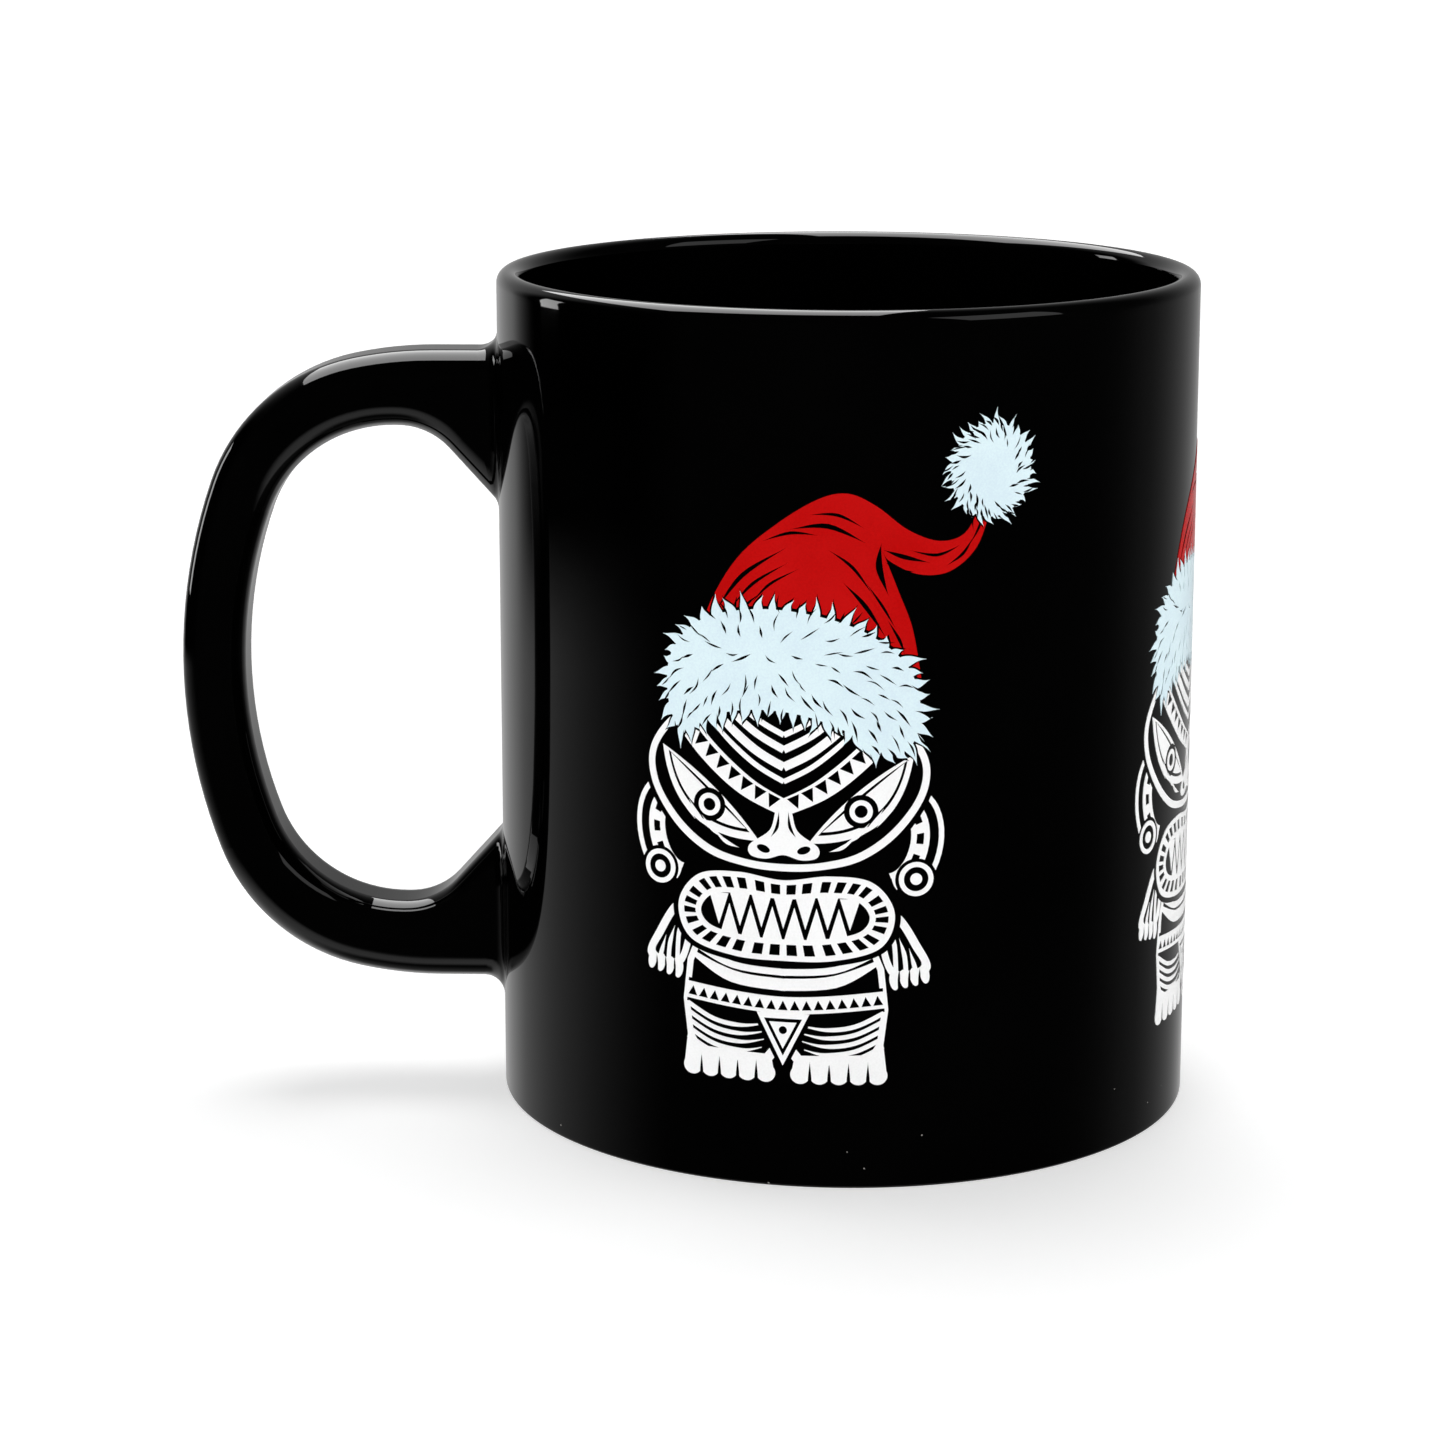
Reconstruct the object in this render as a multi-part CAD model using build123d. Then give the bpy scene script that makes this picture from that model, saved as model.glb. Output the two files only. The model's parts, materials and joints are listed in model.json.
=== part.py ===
from build123d import *
import math
import os

# A glazed ceramic mug with a D-shaped handle and a picture printed three times round its wall.
# Origin: the mug's axis, in the plane that it stands on. +Z is up and the handle points along -X.
# All sizes are millimetres and degrees. Sizes of glazed faces are taken over the glaze.

# Cup
body_radius = 40.0
body_height = 96.0
wall_thickness = 2.8
floor_height = 6.5
floor_fillet = 8.0

# Foot: a flat ring of bare clay round a shallow glazed recess
foot_ring_width = 5.2
foot_edge = 0.15
recess_height = 1.8
recess_slope_width = 1.4

# Glaze
glaze = 0.3

# Handle, as distances out from the mug's axis and heights above the foot. Its outline and its
# finger window each bend through a crown arc, a corner arc and a long tip arc, and back again.
handle_width = 10.4
handle_edge_fillet = 3.2
handle_top = 86.7
handle_bottom = 12.4
handle_reach = 77.05
handle_tip_radius = 64.0
handle_crown_radius = 45.0
window_top = 77.95
window_bottom = 21.3
window_reach = 69.75
window_tip_radius = 53.0
window_crown_radius = 16.0
tip_angle = 20.0
crown_angle = 12.0
flare_angle = 48.0
flare_radius = 8.0
flare_start = 51.5
root_end = 36.5
joint_fillet = 2.4

# Printed picture: a carved figure in a fur-trimmed cap. Its flat outlines are drawn square-on,
# as distances across from the picture's centre line and heights above the foot.
film = 0.06
picture_turns = {"front": -9.3, "side": 78.4, "back": 166.1}
cap_upper_edge = [
    (-9.4, 61.4), (-5.6, 69.4), (0.4, 74.9), (5.6, 76.8), (11.2, 74.0), (15.6, 71.4), (18.4, 73.6),
]
cap_lower_edge = [(19.6, 72.8), (15.6, 67.9), (10.0, 69.8)]
cap_side_edge = [(10.0, 69.8), (12.2, 64.6), (13.4, 58.6)]
fur_edge = [
    (-14.2, 55.8), (-10.4, 62.6), (-1.0, 65.2), (8.4, 63.2), (14.8, 57.2),
    (12.4, 48.2), (5.4, 51.4), (-3.6, 52.6), (-12.6, 49.6),
]
pompom_centre = (21.4, 78.9)
pompom_size = (9.2, 10.8)
head_centre = (0.0, 39.6)
head_size = (30.4, 26.0, 9.0)
jaw_centre = (0.0, 31.0)
jaw_size = (24.8, 12.0, 5.0)
torso_centre = (0.0, 19.8)
torso_size = (22.4, 16.0, 1.6)
ear_centre = (13.6, 38.6)
ear_size = (6.2, 12.6)
arm_centre = (12.2, 28.0)
arm_size = (5.6, 9.4)
arm_tilt = 18.0

outer_radius = body_radius - glaze
lip_radius = wall_thickness / 2
lip_centre = (body_radius - lip_radius, body_height - lip_radius)
inner_radius = body_radius - wall_thickness
fillet_centre = (inner_radius - floor_fillet, floor_height + floor_fillet)
recess_edge = body_radius - foot_ring_width - recess_slope_width


def revolved(*edges):
    """Turn a closed half-section, drawn as radius and height, round the mug's axis."""
    return revolve(Plane.XZ * make_face(Curve() + [*edges]), axis=Axis.Z)


def lip_quarter(skin, start):
    return CenterArc(lip_centre, lip_radius - skin, start, 90)


def floor_corner(skin):
    return CenterArc(fillet_centre, floor_fillet + skin, -90, 90)


def cup_clay():
    """The cup, from its foot ring to its rounded lip."""
    radius = outer_radius
    bore = inner_radius + glaze
    ring_inner = body_radius - foot_ring_width
    clay_floor = floor_height - glaze
    clay_recess = recess_height + glaze
    return revolved(
        CenterArc((radius - foot_edge, foot_edge), foot_edge, -90, 90),
        Line((radius, foot_edge), (radius, lip_centre[1])),
        lip_quarter(glaze, 0),
        lip_quarter(glaze, 90),
        Line((bore, lip_centre[1]), (bore, fillet_centre[1])),
        floor_corner(glaze),
        Polyline(
            (fillet_centre[0], clay_floor),
            (0, clay_floor),
            (0, clay_recess),
            (recess_edge, clay_recess),
            (recess_edge, recess_height),
            (ring_inner, 0),
            (radius - foot_edge, 0),
        ),
    )


def wall_coat():
    """The glaze on the outside, from the foot's rounded edge to the top of the lip."""
    return revolved(
        Line((outer_radius, foot_edge), (body_radius, foot_edge)),
        Line((body_radius, foot_edge), (body_radius, lip_centre[1])),
        lip_quarter(0, 0),
        Line((lip_centre[0], body_height), (lip_centre[0], body_height - glaze)),
        lip_quarter(glaze, 0),
        Line((outer_radius, lip_centre[1]), (outer_radius, foot_edge)),
    )


def liner_coat():
    """The glaze inside, from the top of the lip down the wall and over the floor."""
    bore = inner_radius + glaze
    return revolved(
        Line((lip_centre[0], body_height - glaze), (lip_centre[0], body_height)),
        lip_quarter(0, 90),
        Line((inner_radius, lip_centre[1]), (inner_radius, fillet_centre[1])),
        floor_corner(0),
        Polyline(
            (fillet_centre[0], floor_height),
            (0, floor_height),
            (0, floor_height - glaze),
            (fillet_centre[0], floor_height - glaze),
        ),
        floor_corner(glaze),
        Line((bore, fillet_centre[1]), (bore, lip_centre[1])),
        lip_quarter(glaze, 90),
    )


def recess_coat():
    """The disc of glaze in the recess under the foot."""
    disc = Cylinder(recess_edge, glaze, align=(Align.CENTER, Align.CENTER, Align.MIN))
    return Pos(Z=recess_height) * disc


def bend(reach, low, high, tip_radius, crown_radius):
    """The arcs of a D, from its high end round the far side of the handle to its low end."""
    tip_rise = math.sin(math.radians(tip_angle))
    tip_run = math.cos(math.radians(tip_angle))
    crown_rise = math.cos(math.radians(crown_angle))
    crown_run = math.sin(math.radians(crown_angle))
    left_over = (high - low) / 2 - tip_radius * tip_rise - crown_radius * (1 - crown_rise)
    corner_radius = left_over / (crown_rise - tip_rise)
    middle = (low + high) / 2
    tip = (tip_radius - reach, middle)
    corner_out = tip[0] - (tip_radius - corner_radius) * tip_run
    corner_up = (tip_radius - corner_radius) * tip_rise
    crown_out = corner_out + (crown_radius - corner_radius) * crown_run
    crown_up = corner_up - (crown_radius - corner_radius) * crown_rise
    corner_angle = 90 - crown_angle - tip_angle
    return [
        CenterArc((crown_out, middle + crown_up), crown_radius, 90, crown_angle),
        CenterArc((corner_out, middle + corner_up), corner_radius, 90 + crown_angle, corner_angle),
        CenterArc(tip, tip_radius, 180 - tip_angle, 2 * tip_angle),
        CenterArc((corner_out, middle - corner_up), corner_radius, 180 + tip_angle, corner_angle),
        CenterArc((crown_out, middle - crown_up), crown_radius, 270 - crown_angle, crown_angle),
    ]


def handle_solid(skin):
    """The handle, with its edges rounded, drawn skin deep inside the glaze's surface."""
    top = handle_top - skin
    bottom = handle_bottom + skin
    high = window_top + skin
    low = window_bottom - skin
    outer = bend(handle_reach - skin, bottom, top, handle_tip_radius - skin, handle_crown_radius - skin)
    window = bend(window_reach + skin, low, high, window_tip_radius + skin, window_crown_radius + skin)
    radius = flare_radius + skin
    upper_flare = CenterArc((-flare_start, high - radius), radius, 90 - flare_angle, flare_angle)
    lower_flare = CenterArc((-flare_start, low + radius), radius, -90, flare_angle)
    upper_end = upper_flare @ 0
    lower_end = lower_flare @ 1
    slope = math.tan(math.radians(flare_angle))
    outline = Curve() + [
        *outer,
        *window,
        upper_flare,
        lower_flare,
        Line((-flare_start, high), window[0] @ 0),
        Line((-flare_start, low), window[-1] @ 1),
        Polyline(
            upper_end,
            (-root_end, upper_end.Y + (upper_end.X + root_end) * slope),
            (-root_end, top),
            outer[0] @ 0,
        ),
        Polyline(
            lower_end,
            (-root_end, lower_end.Y - (lower_end.X + root_end) * slope),
            (-root_end, bottom),
            outer[-1] @ 1,
        ),
    ]
    half_width = handle_width / 2 - skin
    block = extrude(Plane.XZ * make_face(outline), amount=half_width, both=True)
    long_edges = []
    for edge in block.edges():
        middle = edge @ 0.5
        if abs(abs(middle.Y) - half_width) < glaze / 10 and middle.X < -root_end - glaze:
            long_edges.append(edge)
    return fillet(long_edges, handle_edge_fillet - skin)


def attached(radius, handle, blend):
    """The handle outside a wall of this radius, with the fillets that blend it into the wall."""
    post = Cylinder(radius, 3 * body_height)
    whole = post + handle
    seams = []
    for edge in whole.edges():
        samples = [edge @ (step / 4) for step in range(5)]
        on_wall = all(abs(math.hypot(p.X, p.Y) - radius) < glaze / 10 for p in samples)
        if on_wall and handle_bottom - glaze < samples[2].Z < handle_top + glaze and samples[2].X < 0:
            seams.append(edge)
    return fillet(seams, blend) - post


def rounded(centre, size):
    return Pos(*centre) * RectangleRounded(*size)


def pair(centre, size, tilt):
    """Two ellipses, mirrored about the picture's centre line."""
    right = Pos(*centre) * Rot(Z=tilt) * Ellipse(size[0] / 2, size[1] / 2)
    return right + mirror(right, about=Plane.YZ)


def picture():
    """The flat outlines of the picture's four inks, none of them over another."""
    fur = make_face(Spline(fur_edge, periodic=True))
    pompom = Pos(*pompom_centre) * Ellipse(pompom_size[0] / 2, pompom_size[1] / 2)
    cap_edges = Curve() + [
        Spline(cap_upper_edge),
        ThreePointArc(*cap_lower_edge),
        Spline(cap_side_edge),
        Line(cap_upper_edge[-1], cap_lower_edge[0]),
        Line(cap_side_edge[-1], cap_upper_edge[0]),
    ]
    figure = rounded(head_centre, head_size) + rounded(jaw_centre, jaw_size)
    figure += rounded(torso_centre, torso_size)
    figure += pair(ear_centre, ear_size, 0) + pair(arm_centre, arm_size, arm_tilt)
    return {
        "cap_print": make_face(cap_edges) - fur,
        "fur_print": fur,
        "pompom_print": pompom,
        "figure_print": figure - fur,
    }


def wrapped(outline, turn):
    """A flat outline laid on the wall as a film of ink, turned round the mug's axis."""
    tube = Cylinder(body_radius + film, 3 * body_height) - Cylinder(body_radius, 3 * body_height)
    return Rot(Z=turn) * (extrude(Plane.XZ * outline, amount=2 * body_radius) & tube)


handle = handle_solid(glaze) - Cylinder(outer_radius, 3 * body_height)
bare_handle = attached(outer_radius, handle_solid(glaze), joint_fillet + glaze)
glazed_handle = attached(body_radius, handle_solid(0), joint_fillet)
lower_slip, upper_slip = (bare_handle - handle).solids().sort_by(Axis.Z)

nodes = {
    "mug_body": cup_clay(),
    "handle": handle,
    "upper_handle_slip": upper_slip,
    "lower_handle_slip": lower_slip,
    "outer_glaze": wall_coat() - bare_handle,
    "handle_glaze": glazed_handle - bare_handle,
    "inner_glaze": liner_coat(),
    "recess_glaze": recess_coat(),
}
for side, turn in picture_turns.items():
    for ink, outline in picture().items():
        nodes[side + "_" + ink] = wrapped(outline, turn)

os.makedirs("parts", exist_ok=True)
for name, solid in nodes.items():
    export_step(solid, "parts/" + name + ".step")
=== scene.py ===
"""Looks of the printed mug: glaze, bare clay, printed picture, studio floor, light and camera."""
import json
import math
import random

import bmesh
import bpy
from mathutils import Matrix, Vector
from mathutils.geometry import delaunay_2d_cdt


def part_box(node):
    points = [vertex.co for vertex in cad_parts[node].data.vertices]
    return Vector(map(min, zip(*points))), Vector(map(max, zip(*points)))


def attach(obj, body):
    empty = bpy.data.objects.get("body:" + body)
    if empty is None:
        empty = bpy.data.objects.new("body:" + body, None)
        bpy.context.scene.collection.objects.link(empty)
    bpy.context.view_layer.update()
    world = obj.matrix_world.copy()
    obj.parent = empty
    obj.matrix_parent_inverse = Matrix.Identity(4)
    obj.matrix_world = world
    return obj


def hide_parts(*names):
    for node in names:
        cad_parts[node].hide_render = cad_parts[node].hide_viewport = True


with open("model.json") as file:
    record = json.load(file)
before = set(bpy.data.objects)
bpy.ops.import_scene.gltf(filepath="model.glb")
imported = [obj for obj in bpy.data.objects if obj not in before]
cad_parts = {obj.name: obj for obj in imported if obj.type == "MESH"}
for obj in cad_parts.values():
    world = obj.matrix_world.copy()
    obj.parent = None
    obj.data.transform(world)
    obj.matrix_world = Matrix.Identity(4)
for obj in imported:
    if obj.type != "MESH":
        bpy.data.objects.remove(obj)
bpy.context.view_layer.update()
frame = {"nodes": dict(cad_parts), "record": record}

# ---------------------------------------------------------------- sizes taken from the frame, in metres
BODY_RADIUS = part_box("outer_glaze")[1].x
BODY_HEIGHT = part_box("outer_glaze")[1].z

# ---------------------------------------------------------------- camera, in metres and degrees
CAMERA_PLACE = (-0.0003, -0.4348, 0.1464)
CAMERA_YAW = -1.84
CAMERA_PITCH = -12.12
CAMERA_LENS = 95.24
CAMERA_SHIFT = -0.06


def compass(azimuth, elevation):
    """Unit vector: azimuth in degrees from +Y toward +X, elevation above the horizon."""
    a, e = math.radians(azimuth), math.radians(elevation)
    return Vector((math.sin(a) * math.cos(e), math.cos(a) * math.cos(e), math.sin(e)))


def added(name, data):
    """A new object in the scene, made of a mesh, a light or a camera."""
    made = bpy.data.objects.new(name, data)
    bpy.context.scene.collection.objects.link(made)
    return made


def add_camera():
    camera = added("camera", bpy.data.cameras.new("camera"))
    camera.location = CAMERA_PLACE
    camera.rotation_euler = compass(CAMERA_YAW, CAMERA_PITCH).to_track_quat("-Z", "Y").to_euler()
    camera.data.lens = CAMERA_LENS
    camera.data.shift_y = CAMERA_SHIFT
    bpy.context.scene.camera = camera


# ---------------------------------------------------------------- node writing
def node(tree, kind, inputs=None, **settings):
    """Adds a node. inputs maps a socket's name or number to a value or to another node's socket."""
    made = tree.nodes.new(kind)
    for name, value in settings.items():
        setattr(made, name, value)
    for name, value in (inputs or {}).items():
        if isinstance(value, bpy.types.NodeSocket):
            tree.links.new(value, made.inputs[name])
        else:
            made.inputs[name].default_value = value
    return made


def ramp(tree, factor, stops, interpolation="LINEAR"):
    """A colour ramp from (position, grey or colour) stops."""
    made = node(tree, "ShaderNodeValToRGB", {"Fac": factor})
    band = made.color_ramp
    band.interpolation = interpolation
    while len(band.elements) < len(stops):
        band.elements.new(0.5)
    for element, (position, value) in zip(band.elements, stops):
        element.position = position
        element.color = (*value, 1) if isinstance(value, tuple) else (value, value, value, 1)
    return made.outputs["Color"]


def math_node(tree, operation, *values):
    return node(tree, "ShaderNodeMath", dict(enumerate(values)), operation=operation).outputs[0]


def dot_product(tree, vector, direction):
    made = node(tree, "ShaderNodeVectorMath", {0: vector, 1: direction}, operation="DOT_PRODUCT")
    return made.outputs["Value"]


def height_of(tree, vector):
    return node(tree, "ShaderNodeSeparateXYZ", {"Vector": vector}).outputs["Z"]


# ---------------------------------------------------------------- studio
# What the glaze reflects besides the softboxes: azimuth, elevation, (angle, radiance) stops and blend.
GLOWS = (
    (-27, -8, ((0, 0.48), (11, 0.46), (20, 0.34), (52, 0.20), (72, 0.07), (90, 0.0)), "B_SPLINE"),
    (10, -35, ((0, 0.30), (15, 0.30), (26, 0.15), (40, 0.12), (60, 0.05), (75, 0.0)), "B_SPLINE"),
    (0, -90, ((0, 0.0), (18, 0.0), (36, 0.55), (46, 0.52), (62, 0.0), (90, 0.0)), "EASE"),
)
# The unlit part of the room: its azimuth, how far it spreads either side, and where it starts.
DARK_AZIMUTH = -84
DARK_SPREAD = (46, 26)
DARK_FOOT = (-12.8, -10.2)
# The light on matt surfaces: pale walls that end between two elevations, and a dimmer room above.
WALL_LIGHT = 2.7
ROOM_LIGHT = 0.15
WALL_TOP = (22, 10)
# What the camera sees of the room behind the floor.
BACKDROP = 1.1
PAPER_WHITE = 0.93
PAPER_GLOW = 0.54
PAPER_SIZE = 30
SOFTBOX_DISTANCE = 1.0


def step(tree, value, low, high):
    """Goes smoothly from 0 at low to 1 at high."""
    limits = {"Value": value, "From Min": low, "From Max": high}
    return node(tree, "ShaderNodeMapRange", limits, interpolation_type="SMOOTHSTEP").outputs[0]


def dark_corner(tree, toward):
    """1 towards the unlit part of the room: the left side, from just under the horizon upwards."""
    raised = step(tree, height_of(tree, toward), *(math.sin(math.radians(e)) for e in DARK_FOOT))
    along = dot_product(tree, toward, compass(DARK_AZIMUTH, 0))
    leftward = step(tree, along, *(math.cos(math.radians(a)) for a in DARK_SPREAD))
    return math_node(tree, "MULTIPLY", raised, leftward)


def glow_of(tree, toward):
    """The radiance that the glaze reflects from a direction: the glows, less the dark corner."""
    glow = 0.0
    for azimuth, elevation, stops, blend in GLOWS:
        angle = math_node(tree, "ARCCOSINE", dot_product(tree, toward, compass(azimuth, elevation)))
        share = math_node(tree, "DIVIDE", angle, math.pi / 2)
        lobe = ramp(tree, share, [(a / 90, r) for a, r in stops], blend)
        glow = math_node(tree, "ADD", lobe, glow)
    return math_node(tree, "MULTIPLY", glow, math_node(tree, "SUBTRACT", 1.0, dark_corner(tree, toward)))


def light_of(tree, toward):
    """The radiance that lights matt surfaces from a direction."""
    wall = step(tree, height_of(tree, toward), *(math.sin(math.radians(e)) for e in WALL_TOP))
    return math_node(tree, "MULTIPLY_ADD", wall, WALL_LIGHT - ROOM_LIGHT, ROOM_LIGHT)


def add_world():
    """White to the camera, pale walls to matt surfaces, and a dark room with soft glows to the glaze."""
    world = bpy.data.worlds.new("studio")
    bpy.context.scene.world = world
    world.use_nodes = True
    tree = world.node_tree
    tree.nodes.clear()
    ray = node(tree, "ShaderNodeLightPath").outputs
    toward = node(tree, "ShaderNodeTexCoord").outputs["Generated"]
    glossy = node(tree, "ShaderNodeBackground", {"Color": glow_of(tree, toward), "Strength": 1.0})
    around = node(tree, "ShaderNodeMix", {0: ray["Is Camera Ray"], 2: light_of(tree, toward), 3: BACKDROP})
    plain = node(tree, "ShaderNodeBackground", {"Color": (1, 1, 1, 1), "Strength": around.outputs[0]})
    backgrounds = {0: ray["Is Glossy Ray"], 1: plain.outputs[0], 2: glossy.outputs[0]}
    either = node(tree, "ShaderNodeMixShader", backgrounds)
    node(tree, "ShaderNodeOutputWorld", {"Surface": either.outputs[0]})


def glaze_light(name, width, height, radiance):
    """A rectangular light that only the glaze shows."""
    light = bpy.data.lights.new(name, "AREA")
    light.shape = "RECTANGLE"
    light.size = width
    light.size_y = height
    light.energy = radiance * math.pi * width * height
    lamp = added(name, light)
    lamp.visible_diffuse = False
    lamp.visible_camera = False
    return lamp


def softbox(name, azimuth, elevation, width, height, radiance):
    """A glaze light that faces the middle of the lip."""
    lamp = glaze_light(name, width, height, radiance)
    outward = compass(azimuth, elevation)
    lamp.location = Vector((0, 0, BODY_HEIGHT)) + outward * SOFTBOX_DISTANCE
    lamp.rotation_euler = outward.to_track_quat("Z", "Y").to_euler()


def ceiling_box(name, left, right, front, back, radiance):
    """A level glaze light over the lip. Its edges are given in metres."""
    lamp = glaze_light(name, right - left, back - front, radiance)
    lamp.location = ((left + right) / 2, (front + back) / 2, BODY_HEIGHT + SOFTBOX_DISTANCE)


def sun(name, azimuth, elevation, spread_angle, strength):
    """A distant soft light that the glaze doesn't show, so the floor is as bright far off as near."""
    light = bpy.data.lights.new(name, "SUN")
    light.angle = math.radians(spread_angle)
    light.energy = strength
    lamp = added(name, light)
    lamp.rotation_euler = compass(azimuth, elevation).to_track_quat("Z", "Y").to_euler()
    lamp.visible_glossy = False
    lamp.visible_camera = False


def add_floor():
    """A wide sheet of white paper that glows faintly."""
    bpy.ops.mesh.primitive_plane_add(size=PAPER_SIZE)
    floor = bpy.context.object
    floor.name = "floor"
    floor.visible_glossy = False
    paper = bpy.data.materials.new("paper")
    paper.use_nodes = True
    bsdf = paper.node_tree.nodes["Principled BSDF"]
    bsdf.inputs["Base Color"].default_value = (PAPER_WHITE, PAPER_WHITE, PAPER_WHITE, 1)
    bsdf.inputs["Roughness"].default_value = 1.0
    bsdf.inputs["Specular IOR Level"].default_value = 0.0
    bsdf.inputs["Emission Color"].default_value = (1, 1, 1, 1)
    bsdf.inputs["Emission Strength"].default_value = PAPER_GLOW
    floor.data.materials.append(paper)


def add_studio():
    add_world()
    ceiling_box("overhead", left=-0.85, right=0.11, front=-0.18, back=1.7, radiance=4.5)
    ceiling_box("overhead_core", left=-0.62, right=0.05, front=0.12, back=1.3, radiance=5.0)
    softbox("left_strip", azimuth=-70, elevation=4.5, width=0.18, height=0.40, radiance=3.6)
    softbox("right_front_box", azimuth=124, elevation=34, width=0.60, height=0.60, radiance=0.8)
    sun("key", azimuth=-12, elevation=71, spread_angle=32, strength=1.0)
    add_floor()


# ---------------------------------------------------------------- coats of glaze on the cup
GLAZE = 0.0003
LIP_RADIUS = BODY_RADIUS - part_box("inner_glaze")[1].x
FLOOR_FILLET = 0.008
FOOT_EDGE = 0.00003
TURN_STEPS = 288
SHORTEST_RUN = 0.002
SAME_PLACE = 1e-6
SHARP_ANGLE = 35
INNER_RADIUS = BODY_RADIUS - 2 * LIP_RADIUS
FLOOR_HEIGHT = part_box("inner_glaze")[0].z + GLAZE
LIP_CENTRE = Vector((BODY_RADIUS - LIP_RADIUS, BODY_HEIGHT - LIP_RADIUS))
FLOOR_CENTRE = Vector((INNER_RADIUS - FLOOR_FILLET, FLOOR_HEIGHT + FLOOR_FILLET))


def arc(centre, radius, start, sweep, steps=14):
    """Points of an arc, from an angle and through a sweep in degrees."""
    angles = [math.radians(start + sweep * k / steps) for k in range(steps + 1)]
    return [centre + radius * Vector((math.cos(a), math.sin(a))) for a in angles]


def run(start, end, steps=22):
    """Points between two ends of a straight stretch, closer together towards both ends."""
    shares = [(1 - math.cos(math.pi * k / steps)) / 2 for k in range(1, steps)]
    return [start.lerp(end, share) for share in shares]


def joined(*stretches):
    """One half-section from arcs and points, with straight runs between them, closed at the end."""
    section = []
    for stretch, following in zip(stretches, stretches[1:] + stretches[:1]):
        section += stretch
        if (following[0] - stretch[-1]).length > SHORTEST_RUN:
            section += run(stretch[-1], following[0])
    return section


def revolved(name, section, skin):
    """A solid of one closed half-section, in radius and height, turned round the mug's axis."""
    shape = bmesh.new()
    corners = [shape.verts.new((p.x, 0, p.y)) for p in section]
    edges = [shape.edges.new(pair) for pair in zip(corners, corners[1:] + corners[:1])]
    bmesh.ops.spin(shape, geom=corners + edges, axis=(0, 0, 1), cent=(0, 0, 0), angle=2 * math.pi,
                   steps=TURN_STEPS, use_merge=True)
    bmesh.ops.remove_doubles(shape, verts=shape.verts, dist=SAME_PLACE)
    bmesh.ops.recalc_face_normals(shape, faces=shape.faces)
    mesh = bpy.data.meshes.new(name)
    shape.to_mesh(mesh)
    shape.free()
    mesh.shade_smooth()
    mesh.set_sharp_from_angle(angle=math.radians(SHARP_ANGLE))
    mesh.materials.append(skin)
    return added(name, mesh)


def wall_coat(skin):
    """The outside glaze, from a rolled edge at the foot to the top of the lip."""
    foot_centre = Vector((BODY_RADIUS - GLAZE, FOOT_EDGE + GLAZE))
    section = joined(
        arc(foot_centre, GLAZE, -90, 90, 6),
        arc(LIP_CENTRE, LIP_RADIUS, 0, 90),
        arc(LIP_CENTRE, LIP_RADIUS - GLAZE, 90, -90),
    )
    return revolved("outer_glaze_coat", section, skin)


def liner_coat(skin):
    """The inside glaze, from the top of the lip down the wall, round the corner and over the floor."""
    axis = [Vector((0, FLOOR_HEIGHT)), Vector((0, FLOOR_HEIGHT - GLAZE))]
    section = joined(
        arc(LIP_CENTRE, LIP_RADIUS, 90, 90),
        arc(FLOOR_CENTRE, FLOOR_FILLET, 0, -90),
        axis,
        arc(FLOOR_CENTRE, FLOOR_FILLET + GLAZE, -90, 90),
        arc(LIP_CENTRE, LIP_RADIUS - GLAZE, 180, -90),
    )
    return revolved("inner_glaze_coat", section, skin)


def add_coats(skin):
    for piece, node_name in ((wall_coat(skin), "outer_glaze"), (liner_coat(skin), "inner_glaze")):
        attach(piece, "root")
        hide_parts(node_name)


# ---------------------------------------------------------------- drawing, in mm on the unrolled wall
THINNEST = 0.02


def curve(points, closed=True, steps=6):
    """Points of a smooth curve through the given ones."""
    count = len(points)
    made = []
    for i in range(count if closed else count - 1):
        near = [i + k if not closed else (i + k) % count for k in (-1, 0, 1, 2)]
        a, b, c, d = (Vector(points[min(max(k, 0), count - 1)]) for k in near)
        for j in range(steps):
            t = j / steps
            bend = (2 * a - 5 * b + 4 * c - d) * t * t + (3 * b - a - 3 * c + d) * t**3
            made.append(0.5 * (2 * b + (c - a) * t + bend))
    if not closed:
        made.append(Vector(points[-1]))
    return made


def ease(t):
    """0 to 1, slowly at both ends."""
    t = min(max(t, 0.0), 1.0)
    return t * t * (3 - 2 * t)


def stroke(points, width, start=0.0, end=0.0, steps=6, fade=0.5):
    """A brush line. start and end are the shares of its width that are left at its ends."""
    line = curve(points, closed=False, steps=steps)
    last = len(line) - 1
    left, right = [], []
    for i, place in enumerate(line):
        along = (line[min(i + 1, last)] - line[max(i - 1, 0)]).normalized()
        across = Vector((-along.y, along.x))
        swell = start + (1 - start) * ease(i / last / fade)
        swell *= end + (1 - end) * ease((1 - i / last) / fade)
        left.append(place + across * width / 2 * max(swell, THINNEST))
        right.append(place - across * width / 2 * max(swell, THINNEST))
    return left + right[::-1]


def lens(a, b, left, right, steps=14):
    """A pointed leaf from a to b that bulges to the left and to the right of that line."""
    a, b = Vector(a), Vector(b)
    across = Vector((a.y - b.y, b.x - a.x)).normalized()
    shares = [i / steps for i in range(steps + 1)]
    one = [a.lerp(b, t) + across * left * 4 * t * (1 - t) for t in shares]
    two = [a.lerp(b, t) - across * right * 4 * t * (1 - t) for t in shares]
    return one + two[-2:0:-1]


def oval(centre, width, height, tilt=0.0, steps=28):
    """An oval of a half-width and a half-height, turned by tilt in degrees."""
    turn = math.radians(tilt)
    made = []
    for i in range(steps):
        a = 2 * math.pi * i / steps
        x, y = width * math.cos(a), height * math.sin(a)
        made.append(Vector((centre[0] + x * math.cos(turn) - y * math.sin(turn),
                            centre[1] + x * math.sin(turn) + y * math.cos(turn))))
    return made


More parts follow.
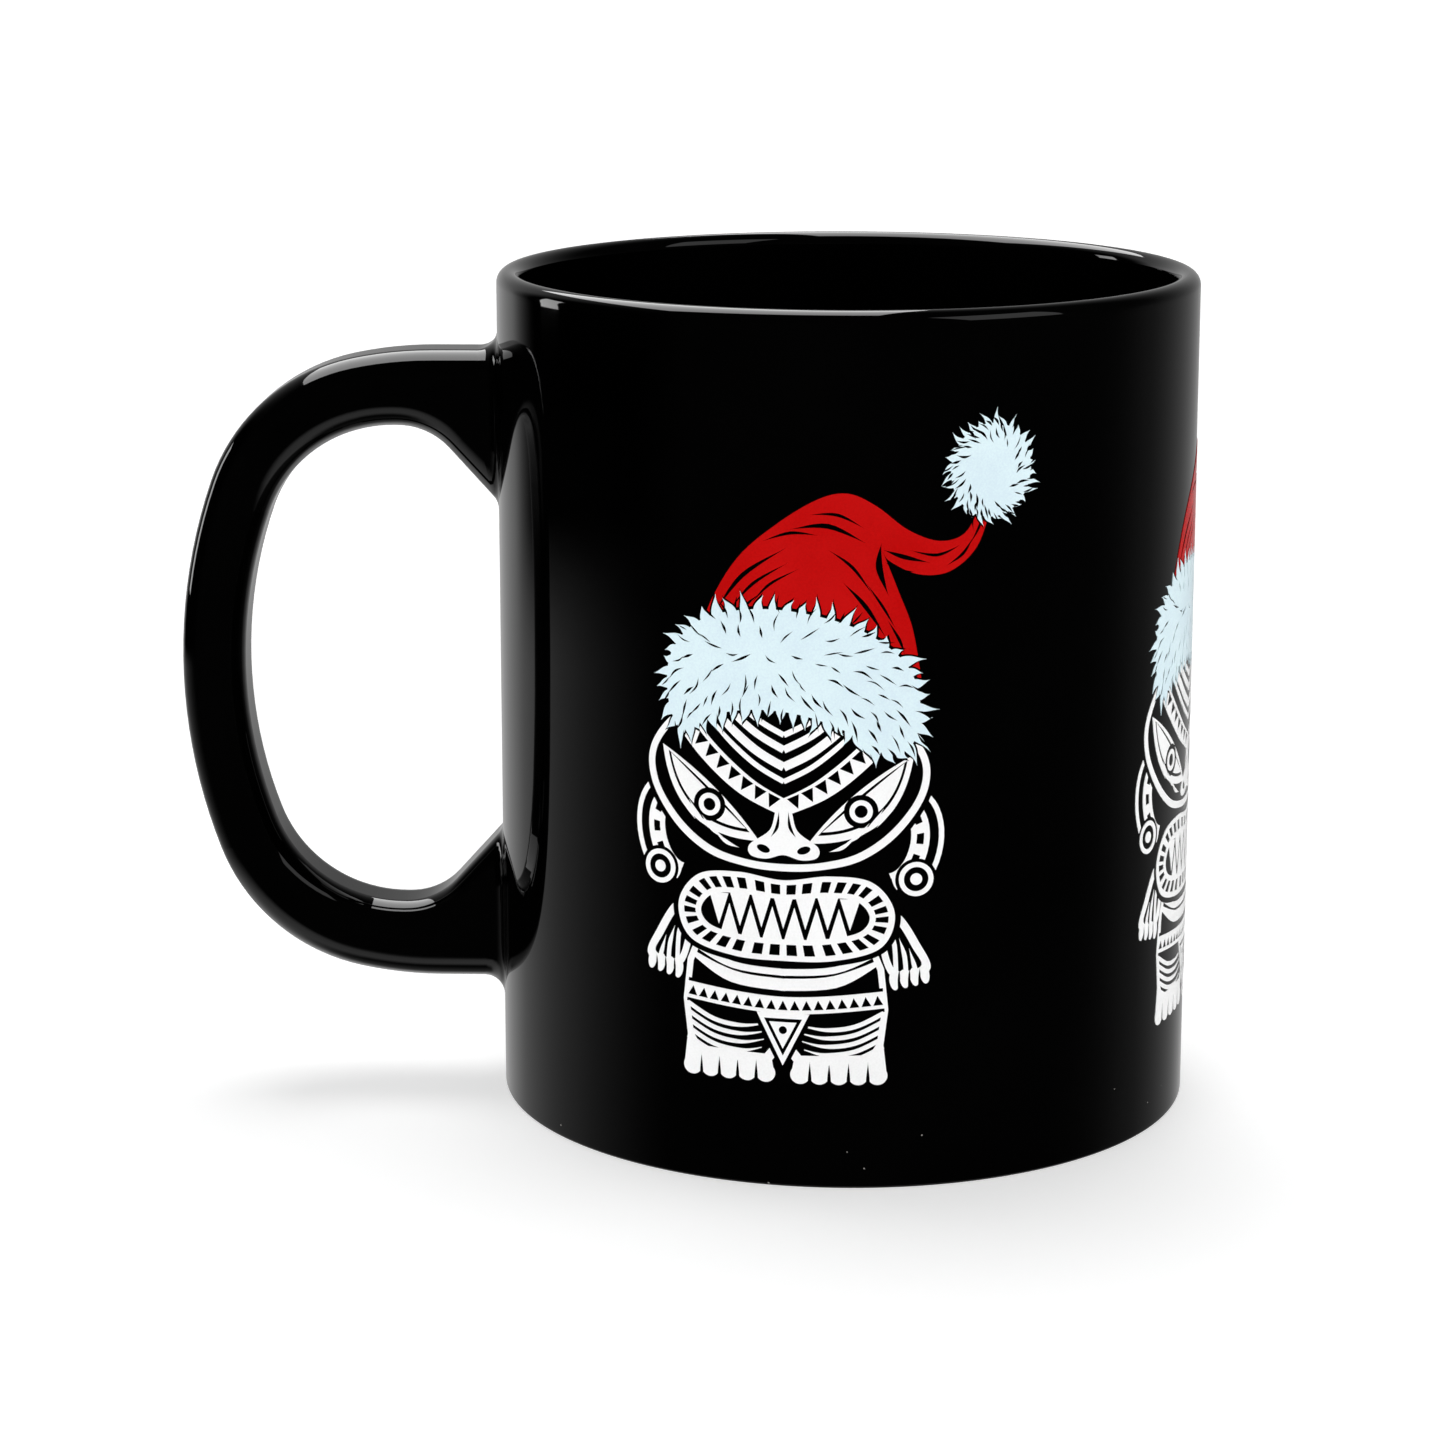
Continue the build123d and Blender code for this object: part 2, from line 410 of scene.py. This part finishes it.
def between(outer, inner, share):
    """An outline some share of the way from one to another with as many points."""
    return [a.lerp(b, share) for a, b in zip(outer, inner)]


def bars(outer, inner, count, fill, first=0.0):
    """Short bars across the band between two outlines with as many points each."""
    total = len(outer)
    made = []
    for i in range(count):
        centre = (i + 0.5 + first) / count
        ends = [int(round((centre + side * fill / 2 / count) * total)) for side in (-1, 1)]
        span = [k % total for k in range(ends[0], ends[1] + 1)]
        made.append([outer[k] for k in span] + [inner[k] for k in span[::-1]])
    return made


def saw(line, width, count, side=1):
    """Triangles of one size that stand on one edge of a band along a line."""
    walked = [0.0]
    for a, b in zip(line, line[1:]):
        walked.append(walked[-1] + (b - a).length)

    def at(share):
        goal = share * walked[-1]
        k = next(i for i, length in enumerate(walked) if length >= goal - 1e-9) or 1
        return line[k - 1].lerp(line[k], (goal - walked[k - 1]) / (walked[k] - walked[k - 1]))

    made = []
    for i in range(count):
        a, middle, b = (at((i + k) / count) for k in (0.08, 0.5, 0.92))
        along = (b - a).normalized()
        across = Vector((-along.y, along.x)) * side * width / 2
        made.append([a - across, b - across, middle + across])
    return made


def mirrored(shape):
    return [Vector((-p[0], p[1])) for p in shape]


def both_sides(top, side, bottom):
    """A symmetrical outline from its heights on the centre line and the points of its right side."""
    return [(0, top)] + [(-x, z) for x, z in side] + [(0, bottom)] + side[::-1]


class Picture:
    """Shapes painted one over the other, each in an ink or, with no ink, as bare glaze."""

    def __init__(self):
        self.layers = []

    def paint(self, ink, *shapes):
        self.layers += [([Vector(p) for p in shape], ink) for shape in shapes]

    def pair(self, ink, *shapes):
        self.paint(ink, *shapes)
        self.paint(ink, *(mirrored(s) for s in shapes))


FIGURE, CAP, FUR, POMPOM, BARE = "figure", "cap", "fur", "pompom", None
INK_SLOTS = {FIGURE: "white_ink", CAP: "red_ink", FUR: "pale_blue_ink", POMPOM: "pale_blue_ink"}


def draw_ears(picture):
    """Ringed ears with a spool in each lobe, and the gap between them and the cheeks."""
    lobe = oval((12.5, 38.7), 4.7, 6.6, -14, 44)
    heart = oval((11.6, 38.9), 1.2, 2.6, -14, 44)
    rims = [between(lobe, heart, share) for share in (0.0, 0.13, 0.36, 0.50, 0.68, 0.82)]
    picture.pair(BARE, between(lobe, heart, -0.1))
    picture.pair(FIGURE, rims[0])
    picture.pair(BARE, rims[1])
    picture.pair(FIGURE, *bars(rims[1], rims[2], 22, 0.40), rims[2])
    picture.pair(BARE, rims[3])
    picture.pair(FIGURE, *bars(rims[3], rims[4], 11, 0.36, 0.5), rims[4])
    picture.pair(BARE, rims[5])
    gap = [(3, 41), (10.6, 41), (10.9, 36.8), (11.9, 34.2), (12.6, 33.2), (15.2, 33), (15.2, 31), (3, 31)]
    picture.pair(BARE, gap)
    spool = (14.3, 34.9)
    for ink, size in ((BARE, 2.3), (FIGURE, 1.9), (BARE, 1.35), (FIGURE, 0.65)):
        picture.pair(ink, oval(spool, size, size))


def draw_arms(picture):
    """Striped arms with four fingers each."""
    arm = [(10.2, 32.0), (12.6, 31.0), (14.7, 27.8), (16.0, 24.9), (13.9, 23.7), (11.6, 24.2),
           (10.4, 27.5)]
    inner = [(10.4, 31.0), (12.3, 30.0), (14.0, 27.2), (15.0, 25.3), (13.6, 24.7), (12.0, 25.0),
             (11.1, 27.5)]
    picture.pair(FIGURE, curve(arm))
    picture.pair(BARE, curve(inner))
    for x, top in ((12.0, 29.6), (13.1, 28.4), (14.2, 27.2)):
        picture.pair(FIGURE, stroke([(x - 0.6, top), (x, top - 2), (x + 0.2, 24.4)], 0.5, end=1.0))
    finger = 1.12
    picture.pair(FIGURE, *(oval((12.0 + finger * k, 23.6 + 0.2 * k), 0.5, 1.05, 10) for k in range(4)))
    gaps = [[(12.56 + finger * k, 25.0), (12.5 + finger * k, 22.6)] for k in range(3)]
    picture.pair(BARE, *(stroke(gap, 0.28, end=0.6) for gap in gaps))


def draw_legs(picture):
    """Torso, belt, apron, striped legs and toes."""
    outer = [(0, 28.0), (9.4, 28.6), (10.9, 25.0), (11.4, 20.4), (10.9, 16.4), (11.3, 13.0), (0.9, 12.9),
             (1.2, 14.4), (0, 15.9)]
    picture.pair(FIGURE, outer)
    toe = 2.1
    picture.pair(FIGURE, *(oval((1.9 + toe * k, 12.95), 1.08, 1.05) for k in range(5)))
    inner = [(0, 27.3), (9.0, 27.8), (10.2, 24.8), (10.7, 20.4), (10.2, 16.6), (9.4, 15.3), (2.0, 15.1),
             (0, 17.6)]
    picture.pair(BARE, inner)
    gaps = [[(2.95 + toe * k, height) for height in (14.5, 12.4, 11.5)] for k in range(4)]
    picture.pair(BARE, *(stroke(gap, 0.4, end=1.0) for gap in gaps))
    for drop, width in ((0.0, 0.55), (1.1, 0.75), (2.5, 1.35)):
        chest = [(10.6 - 0.1 * drop, 27.6 - 0.75 * drop), (5.6, 25.9 - 0.95 * drop), (-0.3, 25.5 - drop)]
        picture.pair(FIGURE, stroke(chest, width, start=0.4, end=1.0))
    belt = [(-10.9, 21.5), (0, 20.7), (10.9, 21.5)]
    picture.paint(BARE, stroke(belt, 2.7, start=1, end=1, steps=16))
    picture.paint(FIGURE, stroke(belt, 1.9, start=1, end=1, steps=16))
    picture.paint(BARE, *saw(curve(belt, closed=False, steps=24), 1.1, 17))
    for k in range(5):
        drop = 0.94 * k
        stripe = [(1.6 + 0.25 * k, 18.6), (4.6, 18.1), (7.8, 18.5), (10.9, 20.0)]
        picture.pair(FIGURE, stroke([(x, z - drop) for x, z in stripe], 0.5, start=0.2, end=1.0))
    apron = (
        (BARE, 3.5, 19.8, 12.9),
        (FIGURE, 2.9, 19.8, 13.9),
        (BARE, 2.1, 19.2, 15.0),
        (FIGURE, 1.5, 18.8, 15.8),
    )
    for ink, half, top, tip in apron:
        picture.paint(ink, [(-half, top), (half, top), (0, tip)])
    picture.paint(BARE, oval((0, 17.9), 0.45, 0.45))


def draw_mouth(picture):
    """Lips with bars across them round an open mouth, and two rows of teeth."""
    lips = [(5.0, 35.3), (9.6, 34.6), (12.0, 31.2), (10.6, 27.4), (5.6, 25.9)]
    hole = [(4.4, 32.9), (7.8, 32.6), (9.3, 30.8), (8.2, 29.1), (4.6, 28.3)]
    outer = curve(both_sides(34.7, lips, 25.7), steps=14)
    inner = curve(both_sides(32.6, hole, 28.1), steps=14)
    rims = [between(outer, inner, share) for share in (-0.24, 0.0, 0.25, 0.76, 1.0)]
    picture.paint(BARE, rims[0])
    picture.paint(FIGURE, rims[1])
    picture.paint(BARE, rims[2])
    picture.paint(FIGURE, *bars(rims[2], rims[3], 32, 0.42, 0.5), rims[3])
    picture.paint(BARE, rims[4])
    tooth = 2.4
    for k in range(7):
        x = tooth * (k - 3)
        gum = 33.0 - 0.004 * x * x
        picture.paint(FIGURE, [(x - 1.1, gum), (x, 29.3), (x + 1.1, gum)])
    for k in range(6):
        x = tooth * (k - 2.5)
        picture.paint(FIGURE, [(x - 1.1, 28.0), (x + 1.1, 28.0), (x, 31.7)])


def draw_head(picture):
    """The outline of the face."""
    rim = [(5.5, 53.6), (11.4, 52.8), (15.2, 48.8), (15.4, 44.6), (12.6, 40.2), (8.6, 37.2), (4.2, 36.0)]
    inset = [(5.3, 52.9), (11.0, 52.1), (14.5, 48.5), (14.6, 44.7), (12.0, 40.8), (8.3, 38.0), (4.2, 36.8)]
    outer = curve(both_sides(53.8, rim, 35.7), steps=10)
    inner = curve(both_sides(53.0, inset, 36.5), steps=10)
    picture.paint(BARE, between(outer, inner, -0.75))
    picture.paint(FIGURE, outer)
    picture.paint(BARE, inner)


def draw_eyes(picture):
    """Slanting eyes under heavy lids, with a ringed pupil."""
    near, far = Vector((2.7, 38.9)), Vector((13.9, 48.6))
    lids = (
        (FIGURE, 0.0, 1.0, 0.9, 3.3),
        (BARE, 0.09, 0.94, 0.42, 2.55),
        (FIGURE, 0.13, 0.91, 0.1, 2.2),
    )
    for ink, first, last, above, below in lids:
        picture.pair(ink, lens(near.lerp(far, first), near.lerp(far, last), above, below, 24))
    for ink, size in ((BARE, 1.85), (FIGURE, 1.25), (BARE, 0.7)):
        picture.pair(ink, oval((8.3, 42.5), size, size))


def draw_brow(picture):
    """A band with teeth in it, and the lines over it."""
    brow = [(-0.3, 42.6), (4.2, 44.9), (8.6, 48.6), (12.2, 52.8)]
    picture.pair(FIGURE, stroke(brow, 2.3, start=0.8, end=1.0, steps=10))
    picture.pair(BARE, *saw(curve(brow, closed=False, steps=16)[4:], 1.45, 9, -1))
    for lift, width in ((2.1, 0.55), (3.7, 0.95), (5.6, 0.8), (7.2, 0.6)):
        line = [(0, 43.5 + lift), (3.2, 45.3 + lift), (6.6, 48.2 + lift), (8.8, 50.8 + lift)]
        picture.pair(FIGURE, stroke(line, width, start=1.0, end=0.5, steps=10))


def draw_nose(picture):
    side = [(0.8, 42.6), (1.5, 40.2), (3.7, 38.5), (3.6, 37.3), (1.9, 37.0)]
    picture.paint(FIGURE, curve(both_sides(43.6, side, 37.5)))
    picture.pair(BARE, oval((2.2, 38.1), 0.75, 0.42, 20))
    picture.pair(BARE, stroke([(0.5, 42.4), (0.7, 40.6), (1.4, 39.4)], 0.36))


def draw_cheeks(picture):
    for k in range(4):
        low = (4.9 + 1.7 * k, 38.0 + 0.9 * k)
        middle = (6.3 + 1.6 * k, 38.5 + 1.25 * k)
        high = (7.7 + 1.5 * k, 39.6 + 1.6 * k)
        picture.pair(FIGURE, stroke([low, middle, high], 0.42))


def draw_figure(picture):
    draw_ears(picture)
    draw_arms(picture)
    draw_legs(picture)
    draw_mouth(picture)
    draw_head(picture)
    draw_eyes(picture)
    draw_brow(picture)
    draw_nose(picture)
    draw_cheeks(picture)


HAIR_TRIES = 6000
HAIR_TURN = 0.35


def tuft(root, heading, length, width, curl):
    """A pointed lock of fur from its root, bent sideways by curl."""
    heading = heading.normalized()
    across = Vector((-heading.y, heading.x))
    line = [root - heading * length * 0.6, root, root + heading * length * 0.5 + across * curl * 0.3,
            root + heading * length + across * curl]
    return stroke(line, width, start=0.6, steps=5, fade=0.9)


def draw_fur(picture, ink, outline, rng, hairs, flow, length, width, edge):
    """A furry patch: locks round its outline over a dark edge, then short dark hairs inside."""
    locks = []
    walked = 0.0
    for a, b in zip(outline, outline[1:] + outline[:1]):
        walked += (b - a).length
        if walked < width * 0.5:
            continue
        walked = 0.0
        heading = Vector((b.y - a.y, a.x - b.x)).normalized() + flow(a) * rng.uniform(0.5, 1.2)
        long = length * rng.choice((0.5, 0.8, 1.0, 1.25)) * rng.uniform(0.85, 1.15)
        locks.append((a, heading, long, width * rng.uniform(0.7, 1.15), rng.uniform(-0.7, 0.7)))
    sides = zip(outline, outline[1:] + outline[:1])
    rim = [a + Vector((b.y - a.y, a.x - b.x)).normalized() * edge for a, b in sides]
    dark = [tuft(a, heading, long + edge, wide + 2 * edge, curl) for a, heading, long, wide, curl in locks]
    picture.paint(BARE, *dark, rim)
    picture.paint(ink, *(tuft(*lock) for lock in locks), outline)
    for place, heading, long in hairs:
        across = Vector((-heading.y, heading.x)) * rng.uniform(-0.3, 0.3) * long
        line = [place, place + heading * long * 0.45 + across * 0.5, place + heading * long + across * 0.1]
        picture.paint(BARE, stroke(line, rng.uniform(0.24, 0.48), steps=6, fade=0.7))


def draw_cap(picture):
    """A soft pointed cap that falls to the right, with its folds left bare."""
    back = [(-9.6, 59.5), (-8.4, 64.2), (-5.2, 69.6), (-1.0, 73.4), (3.4, 76.2), (6.6, 76.9), (9.6, 75.6),
            (13.0, 73.0), (16.4, 71.7), (19.2, 72.4), (20.9, 75.2)]
    front = [(22.2, 75.3), (20.6, 70.9), (17.6, 68.4), (14.2, 68.2), (11.2, 69.6), (10.4, 70.6)]
    side = [(10.4, 70.6), (12.0, 66.6), (13.6, 62.4), (14.6, 57.0)]
    outline = curve(back, closed=False) + curve(front, closed=False)[:-1] + curve(side, closed=False)
    picture.paint(CAP, outline)
    folds = (
        ([(10.2, 71.6), (10.0, 69.0), (11.0, 66.0)], 0.75),
        ([(10.4, 70.9), (12.6, 70.1), (15.4, 69.4)], 0.5),
        ([(10.6, 69.6), (12.0, 68.7), (13.8, 68.5)], 0.4),
        ([(13.2, 70.8), (16.2, 70.2), (18.8, 71.2)], 0.35),
        ([(17.2, 69.0), (19.0, 70.2), (20.2, 72.0)], 0.35),
        ([(19.8, 71.2), (20.8, 73.0), (21.3, 74.8)], 0.3),
        ([(-7.8, 63.4), (-4.6, 67.8), (0.2, 71.0)], 0.5),
        ([(-6.0, 64.0), (-3.4, 67.0), (0.4, 69.4)], 0.35),
        ([(-3.6, 64.8), (-1.6, 67.0), (1.6, 68.8)], 0.3),
        ([(0.6, 73.0), (4.6, 73.4), (8.6, 71.6)], 0.55),
        ([(2.6, 74.6), (5.6, 74.6), (8.4, 73.2)], 0.35),
        ([(4.6, 70.9), (7.2, 69.0), (9.4, 66.0)], 0.35),
        ([(6.2, 67.4), (8.6, 64.8), (10.8, 61.4)], 0.5),
        ([(8.6, 67.4), (10.4, 64.8), (11.8, 62.4)], 0.3),
        ([(-5.6, 62.6), (-4.4, 64.4), (-2.6, 66.0)], 0.35),
        ([(10.9, 63.4), (12.2, 61.2), (12.8, 59.6)], 0.35),
        ([(-2.4, 71.6), (0.6, 72.6), (3.6, 72.4)], 0.35),
    )
    for line, width in folds:
        picture.paint(BARE, stroke(line, width))


def hairs_in(outline, rng, count, flow, length, apart):
    """Short hairs spread over a patch along the flow of its fur, none closer together than apart."""
    low = Vector((min(p.x for p in outline), min(p.y for p in outline)))
    high = Vector((max(p.x for p in outline), max(p.y for p in outline)))
    made = []
    tries = 0
    while len(made) < count and tries < HAIR_TRIES:
        tries += 1
        place = Vector((rng.uniform(low.x, high.x), rng.uniform(low.y, high.y)))
        if not is_inside(place, outline):
            continue
        if any((place - other).length < apart for other, _, _ in made):
            continue
        heading = flow(place).normalized()
        turn = rng.uniform(-HAIR_TURN, HAIR_TURN)
        heading = Vector((heading.x * math.cos(turn) - heading.y * math.sin(turn),
                          heading.x * math.sin(turn) + heading.y * math.cos(turn)))
        made.append((place, heading, length * rng.uniform(0.6, 1.2)))
    return made


def is_inside(place, outline):
    odd = False
    for a, b in zip(outline, outline[1:] + outline[:1]):
        if (a.y > place.y) != (b.y > place.y):
            if place.x < a.x + (place.y - a.y) * (b.x - a.x) / (b.y - a.y):
                odd = not odd
    return odd


def draw_band(picture):
    """The cap's fur band, higher at the left and lower at the right."""
    rng = random.Random(11)
    edge = [(-13.2, 53.6), (-12.9, 58.6), (-9.4, 62.6), (-3.6, 64.2), (2.6, 63.9), (8.6, 62.0),
            (13.2, 58.2), (14.6, 53.2), (13.4, 49.4), (10.2, 49.0), (6.4, 51.4), (1.6, 53.0),
            (-3.6, 53.3), (-8.6, 52.2), (-11.6, 50.6)]
    outline = curve(edge, steps=8)[::-1]
    middle = Vector((0.6, 57.0))

    def flow(place):
        away = place - middle
        return Vector((away.x / 13, away.y / 5.5)) + Vector((0.25, -0.45))

    hairs = hairs_in(outline, rng, count=105, flow=flow, length=2.3, apart=1.2)
    draw_fur(picture, FUR, outline, rng, hairs, lambda p: flow(p) * 0.6, length=1.6, width=1.9, edge=0.35)


def draw_pompom(picture):
    """The furry ball at the cap's tip, with hairs round its rim."""
    rng = random.Random(5)
    centre = Vector((22.2, 79.0))
    outline = oval(centre, 4.6, 5.0, steps=64)

    def flow(place):
        away = place - centre
        return away.normalized() + Vector((-away.y, away.x)).normalized() * 0.7

    bald = 2.7
    hairs = hairs_in(outline, rng, count=110, flow=flow, length=1.7, apart=0.5)
    rim = [hair for hair in hairs if (hair[0] - centre).length > bald]
    draw_fur(picture, POMPOM, outline, rng, rim, lambda p: flow(p) * 0.8, length=1.25, width=1.2, edge=0.3)


# The films bend round the wall at upright cuts this far apart.
BEND_STEP = 1.5


def whole_picture():
    picture = Picture()
    draw_figure(picture)
    draw_cap(picture)
    draw_band(picture)
    draw_pompom(picture)
    return picture


def flattened(picture):
    """The picture's points, and its visible parts as {ink: [three numbers of points each]}."""
    points, faces, edges = [], [], []
    for shape, _ in picture.layers:
        area = sum(a.x * b.y - b.x * a.y for a, b in zip(shape, shape[1:] + shape[:1]))
        start = len(points)
        points += shape if area > 0 else shape[::-1]
        faces.append(list(range(start, len(points))))
    low, high = min(p.y for p in points) - 1, max(p.y for p in points) + 1
    left, right = min(p.x for p in points), max(p.x for p in points)
    for k in range(math.floor(left / BEND_STEP), math.ceil(right / BEND_STEP) + 1):
        edges.append((len(points), len(points) + 1))
        points += [Vector((k * BEND_STEP, low)), Vector((k * BEND_STEP, high))]
    flat = delaunay_2d_cdt(points, edges, faces, 1, 1e-5, True)
    inks = {}
    for face, covers in zip(flat[2], flat[5]):
        if not covers:
            continue
        ink = picture.layers[max(covers)][1]
        if ink:
            inks.setdefault(ink, []).append(tuple(face))
    return flat[0], inks


# ---------------------------------------------------------------- the printed films
FILM = 0.00006
FILM_SINK = 0.00004
# Where the middle of each copy is, in degrees round from the front.
TURNS = {"front": -9.3, "side": 78.4, "back": 166.1}


def on_wall(place, radius, turn):
    """A point of the picture, wrapped round the body at a radius in metres."""
    angle = math.radians(turn) + place.x / 1000 / BODY_RADIUS
    return Vector((radius * math.sin(angle), -radius * math.cos(angle), place.y / 1000))


def film(name, points, triangles, turn, skin):
    """A closed thin film: its face, its back just inside the glaze, and its edges."""
    used = sorted({i for triangle in triangles for i in triangle})
    number = {old: new for new, old in enumerate(used)}
    count = len(used)
    places = [on_wall(points[i], BODY_RADIUS + FILM, turn) for i in used]
    places += [on_wall(points[i], BODY_RADIUS - FILM_SINK, turn) for i in used]
    faces = []
    border = {}
    for triangle in triangles:
        a, b, c = (number[i] for i in triangle)
        faces += [(a, b, c), (c + count, b + count, a + count)]
        for edge in ((a, b), (b, c), (c, a)):
            if edge[::-1] in border:
                del border[edge[::-1]]
            else:
                border[edge] = True
    faces += [(b, a, a + count, b + count) for a, b in border]
    mesh = bpy.data.meshes.new(name)
    mesh.from_pydata(places, [], faces)
    mesh.update()
    mesh.materials.append(skin)
    return added(name, mesh)


def print_pictures(skins):
    points, inks = flattened(whole_picture())
    for place, turn in TURNS.items():
        for ink, triangles in inks.items():
            piece = film(f"{place}_{ink}_film", points, triangles, turn, skins[INK_SLOTS[ink]])
            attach(piece, "root")
            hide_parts(f"{place}_{ink}_print")


# ---------------------------------------------------------------- materials, with sizes in metres
PINPRICK_TOP = 0.007
PINPRICK_COLOUR = (0.30, 0.29, 0.27)
CLAY_DARK = (0.70, 0.66, 0.58)
CLAY_LIGHT = (0.82, 0.79, 0.72)
IRON = (0.22, 0.15, 0.10)


def material(name):
    """A material, its node tree, its surface shader and the object's coordinates in metres."""
    made = bpy.data.materials.new(name)
    made.use_nodes = True
    tree = made.node_tree
    place = node(tree, "ShaderNodeTexCoord").outputs["Object"]
    return made, tree, tree.nodes["Principled BSDF"], place


def noise(tree, place, grain, detail=2.0):
    """Noise from 0 to 1 whose lumps are about grain metres across."""
    inputs = {"Vector": place, "Scale": 1 / grain, "Detail": detail}
    return node(tree, "ShaderNodeTexNoise", inputs).outputs["Fac"]


def spread(tree, factor, low, high):
    """The middle of a noise, from 0.3 to 0.7, stretched over low to high."""
    limits = {"Value": factor, "From Min": 0.3, "From Max": 0.7, "To Min": low, "To Max": high}
    return node(tree, "ShaderNodeMapRange", limits).outputs[0]


def bump(tree, bsdf, *layers):
    """Bumps one over another, each a height from 0 to 1 and its depth in metres."""
    under = None
    for height, depth in layers:
        inputs = {"Height": height, "Distance": depth, "Strength": 1.0}
        if under:
            inputs["Normal"] = under
        under = node(tree, "ShaderNodeBump", inputs).outputs["Normal"]
    tree.links.new(under, bsdf.inputs["Normal"])


def specks(tree, place, spacing, size, share):
    """Small round dots: one in each of a share of the cells, 1 inside a dot and 0 outside."""
    cells = node(tree, "ShaderNodeTexVoronoi", {"Vector": place, "Scale": 1 / spacing})
    dot = math_node(tree, "LESS_THAN", cells.outputs["Distance"], size / spacing)
    chance = node(tree, "ShaderNodeSeparateColor", {"Color": cells.outputs["Color"]}).outputs["Red"]
    chosen = math_node(tree, "LESS_THAN", chance, share)
    return math_node(tree, "MULTIPLY", dot, chosen)


def spotted(tree, ground, spots, colour):
    """The ground's colour, with another colour where the spots are 1."""
    return node(tree, "ShaderNodeMix", {0: spots, 6: ground, 7: (*colour, 1)}, data_type="RGBA").outputs[2]


def glaze_waves(tree, place):
    """The faint waves of a fired glaze, for bump."""
    return noise(tree, place, 0.014, 1.0), 0.000012


def black_glaze():
    """Deep black gloss that is faintly uneven, with pinpricks of bare clay just above the foot."""
    made, tree, bsdf, place = material("black_glaze")
    near_foot = math_node(tree, "LESS_THAN", height_of(tree, place), PINPRICK_TOP)
    dots = specks(tree, place, spacing=0.0020, size=0.00010, share=0.45)
    pinpricks = math_node(tree, "MULTIPLY", dots, near_foot)
    depth = spread(tree, noise(tree, place, 0.020), 0.00005, 0.0004)
    tree.links.new(spotted(tree, depth, pinpricks, PINPRICK_COLOUR), bsdf.inputs["Base Color"])
    gloss = spread(tree, noise(tree, place, 0.012), 0.022, 0.045)
    tree.links.new(gloss, bsdf.inputs["Roughness"])
    bsdf.inputs["IOR"].default_value = 1.5
    bump(tree, bsdf, glaze_waves(tree, place), (noise(tree, place, 0.0016, 1.0), 0.0000006))
    return made


def stoneware():
    """Bare fired clay: warm white, matt and grainy, with a few dark specks of iron."""
    made, tree, bsdf, place = material("stoneware")
    blotches = ramp(tree, noise(tree, place, 0.009, 4.0), ((0.30, CLAY_DARK), (0.70, CLAY_LIGHT)))
    iron = specks(tree, place, spacing=0.0016, size=0.00013, share=0.16)
    tree.links.new(spotted(tree, blotches, iron, IRON), bsdf.inputs["Base Color"])
    tree.links.new(spread(tree, noise(tree, place, 0.0008), 0.72, 0.92), bsdf.inputs["Roughness"])
    bump(tree, bsdf, (noise(tree, place, 0.00035, 4.0), 0.00005), (noise(tree, place, 0.004), 0.00008))
    return made


def ink(name, thin, thick):
    """Fired decal ink: it varies between a thin and a thick colour, over the waves of the glaze."""
    made, tree, bsdf, place = material(name)
    cloud = noise(tree, place, 0.006, 3.0)
    grain = noise(tree, place, 0.00022, 1.0)
    laid = math_node(tree, "MULTIPLY_ADD", grain, 0.5, math_node(tree, "MULTIPLY", cloud, 0.5))
    tree.links.new(ramp(tree, laid, ((0.35, thin), (0.60, thick))), bsdf.inputs["Base Color"])
    tree.links.new(spread(tree, cloud, 0.12, 0.19), bsdf.inputs["Roughness"])
    bsdf.inputs["Specular IOR Level"].default_value = 0.04
    bump(tree, bsdf, glaze_waves(tree, place), (grain, 0.0000015))
    return made


materials = {
    "black_glaze": black_glaze(),
    "stoneware": stoneware(),
    "white_ink": ink("white_ink", (0.88, 0.88, 0.88), (0.93, 0.93, 0.93)),
    "red_ink": ink("red_ink", (0.44, 0.0025, 0.0025), (0.51, 0.0035, 0.0035)),
    "pale_blue_ink": ink("pale_blue_ink", (0.65, 0.79, 0.86), (0.71, 0.86, 0.90)),
}
for part in frame["record"]["subparts"]:
    slots = frame["nodes"][part["node"]].data.materials
    slots.clear()
    slots.append(materials[part["material_slot"]])


# ---------------------------------------------------------------- the scene
add_coats(materials["black_glaze"])
print_pictures(materials)
add_camera()
add_studio()
bpy.context.scene.view_settings.view_transform = "Standard"
bpy.context.scene.cycles.use_denoising = True
